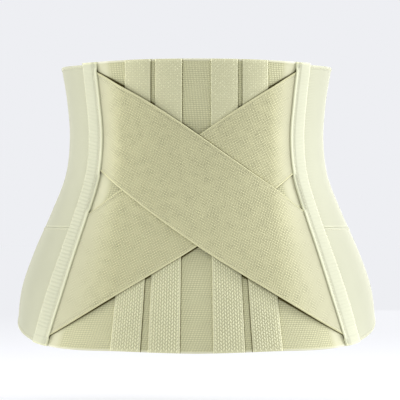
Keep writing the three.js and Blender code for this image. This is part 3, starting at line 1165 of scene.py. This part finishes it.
class BRACE_OT_back_panel(bpy.types.Operator):
    """Lay the knitted back panel between the side seams"""

    bl_idname = "brace.back_panel"
    bl_label = "Back panel"

    def execute(self, context):
        sizes = context.scene.brace_sizes
        hem = sizes.hem_width
        angle, z = back_place(*cloth_grid(BACK_GRID, end_fold=hem + FOLD_MARGIN))
        cloth = Cloth(angle, z, 0.0, sizes.back_thickness)
        x = cloth.base[..., 0]
        from_tape = beyond_tape(x, z)
        pale = PALE_STRIP * rim(from_tape, SEAM_STRIP) + PALE_RIM * rim(cloth.from_ends, RIM_WIDTH)
        beside_casings = [beyond_casing(casing, x, z) + CASING_STANDOFF for casing in CASINGS]
        under_straps = [beyond_strap_on_knit(strap, x, z) for strap in STRAPS]
        # Painted shade beside the tapes, straps and casings that stand above the knit
        crease = painted_shade_mark(from_tape + TAPE_STANDOFF, *under_straps, *beside_casings)
        relief = fold_relief(cloth.from_ends, hem)
        mesh = cloth.mesh("knit_back", BACK_GRID.edge, relief, pale=pale, crease=crease)
        piece = add_piece(mesh, knit_material(context.scene.brace_colours.knit), "back_panel")
        return {"FINISHED"}


class BRACE_OT_stay_casings(bpy.types.Operator):
    """Lay the four webbing casings with their herringbone threads"""

    bl_idname = "brace.stay_casings"
    bl_label = "Stay casings"

    def execute(self, context):
        sizes = context.scene.brace_sizes
        colours = context.scene.brace_colours
        webbing = webbing_material(colours.webbing)
        herringbone = thread_material("herringbone", colours.herringbone, crease_depth=0.5)
        across, up = cloth_grid(CASING_GRID)
        for casing in CASINGS:
            angle, z = casing_place(casing, across, up)
            cloth = Cloth(angle, z, sizes.casing_floor, sizes.casing_top(across))
            relief = selvedge_relief(cloth.from_sides)
            selvedges = PALE_SELVEDGE * rim(cloth.from_sides, SELVEDGE_RIM)
            pale_top = PALE_CASING_TOP * smoothstep(z, *CASING_TOP_REACH)
            pale = np.maximum(selvedges + PALE_RIM * rim(cloth.from_ends, RIM_WIDTH), pale_top)
            for side, word in SIDES:
                # Painted shade beside the straps that lie over the casing
                crease = strap_shade_on_casing(side * cloth.base[..., 0], z)
                name = f"{casing.name}_{word}"
                mesh = cloth.mesh(f"casing_{name}", CASING_GRID.edge, relief, side, pale, crease)
                piece = add_piece(mesh, webbing, f"stay_casing_{name}")
                paths = self.thread_paths(context, casing, side)
                values = self.thread_values(context.scene.brace_threads)
                threads = lay_threads(f"herringbone_{name}", paths, values, herringbone)
        return {"FINISHED"}

    @staticmethod
    def thread_paths(context, casing, side):
        """Columns of threads that lean one way and the other in turn."""
        sizes = context.scene.brace_sizes
        settings = context.scene.brace_threads
        half_pitch = settings.herringbone_pitch / 2 / CASING_FLAT[1]
        start, end = HERRINGBONE_UP
        paths = []
        for column, across in enumerate(np.linspace(*HERRINGBONE_ACROSS, settings.herringbone_columns)):
            odd = column % 2
            up = np.linspace(start, end - half_pitch, PATH_POINTS) + odd * half_pitch
            angle, z = casing_place(casing, across, up)
            distance = sizes.casing_top(across) - HERRINGBONE_SINK * smoothstep(z, *CASING_TOP_REACH)
            paths.append(thread_path(angle, z, distance, side, lean=1 - 2 * odd, on_casing=True))
        return paths

    @staticmethod
    def thread_values(settings):
        """Inputs of the thread rows for herringbone."""
        return {
            "Pitch": settings.herringbone_pitch,
            "Length": settings.herringbone_pitch * HERRINGBONE_OVERLAP,
            "Width": settings.herringbone_width,
            "Height": settings.herringbone_height,
            "Lean": settings.herringbone_lean,
            "Seed": settings.seed,
        }


class BRACE_OT_cross_straps(bpy.types.Operator):
    """Lay the two wide elastic straps across the casings"""

    bl_idname = "brace.cross_straps"
    bl_label = "Crossed straps"

    def execute(self, context):
        sizes = context.scene.brace_sizes
        elastic = elastic_material(context.scene.brace_colours.elastic)
        across, up = cloth_grid(STRAP_GRID, end_fold=STRAP_FOLD)
        for strap in STRAPS:
            x, z = strap_place(strap, across, up)
            rise = strap_rise(x, z)
            floor = lerp(sizes.casing_floor, sizes.strap_floor(strap), rise)
            cloth = Cloth(back_angle(x, z), z, floor, floor + sizes.strap_thickness)
            cloth.flat = strap_flat(cloth.base)
            covers = [beyond_tape(x, z) + TAPE_STANDOFF]
            if strap.name == "under":
                covers.append(beyond_strap(STRAPS[1], x, z, CROSSING_STANDOFFS))
            relief = selvedge_relief(cloth.from_ends)
            # Painted shade on the sewn ends, darker and less yellow, holding back the light that their slope
            # catches
            pale = PALE_STRAP_EDGE * rim(cloth.from_ends, SELVEDGE_RIM) - SEWN_END_SHADE * (1 - rise)
            # Painted shade beside the tape and, on the under strap, beside the over strap
            crease = painted_shade_mark(*covers)
            mesh = cloth.mesh(f"strap_{strap.name}", STRAP_GRID.edge, relief, pale=pale, crease=crease)
            piece = add_piece(mesh, elastic, f"cross_strap_{strap.name}")
        return {"FINISHED"}


class BRACE_OT_seam_tapes(bpy.types.Operator):
    """Lay the padded tapes with their soft ribs over the side seams"""

    bl_idname = "brace.seam_tapes"
    bl_label = "Seam tapes"

    def execute(self, context):
        material = tape_material(context.scene.brace_colours.tape)
        across, up = cloth_grid(TAPE_GRID)
        out = TAPE_ROWS[0].out + across * TAPE_GRID.width
        angle, z = tape_place(out, up)
        cloth = Cloth(angle, z, *tape_layers(out, z))
        grooves = tape_grooves(cloth, out, z, context.scene.brace_threads.rib_pitch)
        hem = 1 - smoothstep(cloth.from_bottom, TAPE_HEM - FOLD_STEP, TAPE_HEM + FOLD_STEP)
        hem_edge = ridge(cloth.from_bottom, TAPE_HEM + FOLD_STEP, FOLD_STEP)
        plain = tape_pale(out) + PALE_RIM * rim(cloth.from_ends, RIM_WIDTH) - DULL_TAPE_HEM * hem_edge
        for side, word in SIDES:
            shown = RIB_SHARES[word] * grooves
            relief = TAPE_HEM_HEIGHT * hem - RIB_GROOVE * shown
            # Painted shade in the grooves between the ribs
            pale = plain - RIB_GROOVE_SHADE * shown
            mesh = cloth.mesh(f"tape_{word}", TAPE_GRID.edge, relief, side, pale)
            piece = add_piece(mesh, material, f"seam_tape_{word}")
        return {"FINISHED"}


class BRACE_OT_side_panels(bpy.types.Operator):
    """Lay the side panels above and below the hip seam"""

    bl_idname = "brace.side_panels"
    bl_label = "Side panels"

    def execute(self, context):
        sizes = context.scene.brace_sizes
        material = side_cloth_material(context.scene.brace_colours.side_cloth)
        hem = sizes.hem_width
        across, up = cloth_grid(SIDE_GRID, end_fold=hem + FOLD_MARGIN)
        levels = (
            ("upper", hip_seam_over, side_top, (0.28, 0.165), 0.0455),
            ("lower", bottom_at, hip_seam_under, (0.30, 0.12), 0.0285),
        )
        for level, low_at, high_at, flat, area in levels:
            angle, z = side_place(low_at, high_at, across, up)
            cloth = Cloth(angle, z, 0.0, sizes.side_thickness)
            if level == "upper":
                from_hem = cloth.from_top
            else:
                from_hem = np.minimum(cloth.from_bottom, cloth.from_top + hem - HIP_FOLD)
            pale_rim = PALE_SIDE_RIM * rim(np.minimum(from_hem, cloth.from_bottom), RIM_WIDTH)
            # Painted shade on the side panels, darker further from the tape
            pale = pale_rim - FAR_SIDE_SHADE * smoothstep(cloth.along, *FAR_SIDE_SHADE_REACH)
            for side, word in SIDES:
                mesh = cloth.mesh(f"side_{level}_{word}", SIDE_EDGE, fold_relief(from_hem, hem), side, pale)
                piece = add_piece(mesh, material, f"side_panel_{level}_{word}")
        return {"FINISHED"}


class BRACE_OT_front_closure(bpy.types.Operator):
    """Lay the plain flap over the middle of the front"""

    bl_idname = "brace.front_closure"
    bl_label = "Front flap"

    def execute(self, context):
        sizes = context.scene.brace_sizes
        half_width = sizes.flap_half_width
        fold = FLAP_FOLD + FLAP_GRID.edge
        across, up = cloth_grid(FLAP_GRID, side_fold=fold, end_fold=fold)
        angle, z = flap_place((1 - 2 * across) * half_width, up, half_width)
        cloth = Cloth(angle, z, sizes.flap_floor, sizes.flap_floor + sizes.flap_thickness)
        mesh = cloth.mesh("front_flap", FLAP_GRID.edge, fold_relief(cloth.from_edge, FLAP_FOLD))
        material = bpy.data.materials["side_cloth"]
        piece = add_piece(mesh, material, "front_closure")
        return {"FINISHED"}


class BRACE_OT_stitching(bpy.types.Operator):
    """Sew the tapes, casings, hems and hip seams"""

    bl_idname = "brace.stitching"
    bl_label = "Stitching"

    def execute(self, context):
        sizes = context.scene.brace_sizes
        settings = context.scene.brace_threads
        paths = []
        for side, _ in SIDES:
            paths += self.tape_rows(side)
            paths += self.casing_rows(sizes, side)
            paths += self.side_rows(sizes, side)
            paths += self.flap_rows(sizes, side)
        values = {
            "Pitch": settings.stitch_pitch,
            "Length": settings.stitch_length,
            "Width": settings.stitch_width,
            "Height": settings.stitch_width,
            "Lean": 0.0,
            "Seed": settings.seed,
        }
        thread = thread_material("thread", context.scene.brace_colours.thread, crease_depth=0.55)
        lay_threads("stitching", paths, values, thread)
        return {"FINISHED"}

    @staticmethod
    def tape_rows(side):
        """Stitches in the groove and along the outer edge of a tape."""
        up = np.linspace(*STITCHED_LENGTH, PATH_POINTS)
        for out in (TAPE_GROOVE, TAPE_OUTER_STITCH):
            angle, z = tape_place(out, up)
            yield thread_path(angle, z, tape_profile(out, "top"), side)

    @staticmethod
    def casing_rows(sizes, side):
        """Stitches along both edges of each casing."""
        up = np.linspace(*STITCHED_LENGTH, PATH_POINTS)
        for casing in CASINGS:
            for across in STITCHED_CASING:
                angle, z = casing_place(casing, across, up)
                yield thread_path(angle, z, sizes.casing_top(across), side, on_casing=True)

    @staticmethod
    def side_rows(sizes, side):
        """Stitches along the hems and the hip seam of the side panels."""
        across = np.linspace(*STITCHED_SIDE, SIDE_PATH_POINTS)
        inset = sizes.hem_width * FOLD_SEWN
        heights = (
            lambda angle: side_top(angle) - inset,
            lambda angle: hip_seam_under(angle) - HIP_FOLD * FOLD_SEWN,
            lambda angle: bottom_at(angle) + inset,
        )
        for height_of in heights:
            angle, z = settle(height_of, lambda at: side_angle(at, across), across.shape)
            yield thread_path(angle, z, sizes.side_thickness + FOLD_HEIGHT / 2, side)

    @staticmethod
    def flap_rows(sizes, side):
        """Stitches round one half of the front flap, along its folded edges."""
        half_width = sizes.flap_half_width
        inset = FLAP_FOLD * FOLD_SEWN
        inset_share = inset / FLAP_LENGTH
        level = np.linspace(0, half_width - inset, FLAP_PATH_POINTS)
        upright = np.linspace(inset_share, 1 - inset_share, PATH_POINTS)
        courses = (
            (level, np.full_like(level, inset_share)),
            (level, np.full_like(level, 1 - inset_share)),
            (np.full_like(upright, half_width - inset), upright),
        )
        distance = sizes.flap_floor + sizes.flap_thickness + FOLD_HEIGHT / 2
        for x, up in courses:
            angle, z = flap_place(x, up, half_width)
            yield thread_path(angle, z, distance, side)


class BRACE_OT_stage(bpy.types.Operator):
    """Set the camera, the soft lights and the plain pale floor"""

    bl_idname = "brace.stage"
    bl_label = "Stage"

    def execute(self, context):
        stage = context.scene.brace_stage
        self.camera(context, stage)
        self.world(context, stage)
        for light in LIGHTS:
            self.light(context, light, getattr(stage, light.name))
        self.floor(context, stage)
        context.scene.view_settings.view_transform = "Standard"
        return {"FINISHED"}

    @staticmethod
    def camera(context, stage):
        """Level camera at the back, square to it."""
        data = bpy.data.cameras.new("camera")
        data.lens = stage.lens
        camera = bpy.data.objects.new("camera", data)
        camera.location = stage.camera_place
        camera.rotation_euler = (math.radians(90), 0, 0)
        context.scene.collection.objects.link(camera)
        context.scene.camera = camera

    @staticmethod
    def world(context, stage):
        """Even dome of pale light, which is also the backdrop."""
        world = bpy.data.worlds.new("backdrop")
        context.scene.world = world
        world.use_nodes = True
        world.node_tree.nodes["Background"].inputs["Color"].default_value = (*stage.backdrop, 1)

    @staticmethod
    def light(context, light, power):
        """Wide soft light that faces the brace."""
        data = bpy.data.lights.new(light.name, "AREA")
        data.shape = "RECTANGLE"
        data.size, data.size_y = LIGHT_SIZE
        data.energy = power
        data.color = light.colour
        data.spread = LIGHT_SPREAD
        lamp = bpy.data.objects.new(light.name, data)
        lamp.location = light.place
        aim = -lamp.location
        lamp.rotation_euler = aim.to_track_quat("-Z", "Y").to_euler()
        context.scene.collection.objects.link(lamp)

    @staticmethod
    def floor(context, stage):
        """Wide pale disc, which glows just enough to meet the backdrop without a line."""
        turns = np.linspace(0, 2 * math.pi, FLOOR_SIDES, endpoint=False)
        height = cad_box[0][2] - stage.floor_drop
        points = [(FLOOR_RADIUS * math.cos(turn), FLOOR_RADIUS * math.sin(turn), height) for turn in turns]
        mesh = bpy.data.meshes.new("floor")
        mesh.from_pydata(points, [], [list(range(FLOOR_SIDES))])
        material = bpy.data.materials.new("floor")
        material.use_nodes = True
        shader = material.node_tree.nodes["Principled BSDF"]
        shader.inputs["Base Color"].default_value = (FLOOR_ALBEDO, FLOOR_ALBEDO, FLOOR_ALBEDO, 1)
        shader.inputs["Roughness"].default_value = 1.0
        shader.inputs["Specular IOR Level"].default_value = 0.0
        glow = [level * (1 - FLOOR_ALBEDO) for level in stage.backdrop]
        shader.inputs["Emission Color"].default_value = (*glow, 1)
        shader.inputs["Emission Strength"].default_value = 1.0
        mesh.materials.append(material)
        floor = bpy.data.objects.new("floor", mesh)
        context.scene.collection.objects.link(floor)
        floor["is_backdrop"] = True


class BRACE_PT_panel(bpy.types.Panel):
    """Steps that build the brace"""

    bl_idname = "BRACE_PT_panel"
    bl_label = "Lumbosacral brace"
    bl_space_type = "VIEW_3D"
    bl_region_type = "UI"
    bl_category = "Brace"

    def draw(self, context):
        for step in STEPS:
            self.layout.operator(step.bl_idname)


STEPS = (
    BRACE_OT_back_panel,
    BRACE_OT_stay_casings,
    BRACE_OT_cross_straps,
    BRACE_OT_seam_tapes,
    BRACE_OT_side_panels,
    BRACE_OT_front_closure,
    BRACE_OT_stitching,
    BRACE_OT_stage,
)
SETTINGS = {
    "brace_sizes": BraceSizes,
    "brace_threads": BraceThreads,
    "brace_colours": BraceColours,
    "brace_stage": BraceStage,
}


def register():
    """Add the settings, steps and panel to Blender."""
    for name, settings in SETTINGS.items():
        bpy.utils.register_class(settings)
        setattr(bpy.types.Scene, name, PointerProperty(type=settings))
    for step in STEPS:
        bpy.utils.register_class(step)
    bpy.utils.register_class(BRACE_PT_panel)


def unregister():
    """Take the panel, steps and settings away again."""
    bpy.utils.unregister_class(BRACE_PT_panel)
    for step in reversed(STEPS):
        bpy.utils.unregister_class(step)
    for name, settings in SETTINGS.items():
        delattr(bpy.types.Scene, name)
        bpy.utils.unregister_class(settings)


def write_sizes():
    """Gather the solids' box and the dressed brace's box side by side."""
    boxes = {"cad": cad_box, "visual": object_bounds()}
    plain = {name: [[float(x) for x in corner] for corner in box] for name, box in boxes.items()}


def main():
    """Build the brace and its stage."""
    register()
    bpy.ops.brace.back_panel()
    bpy.ops.brace.stay_casings()
    bpy.ops.brace.cross_straps()
    bpy.ops.brace.seam_tapes()
    bpy.ops.brace.side_panels()
    bpy.ops.brace.front_closure()
    bpy.ops.brace.stitching()
    bpy.ops.brace.stage()
    write_sizes()


if __name__ == "__main__":
    main()
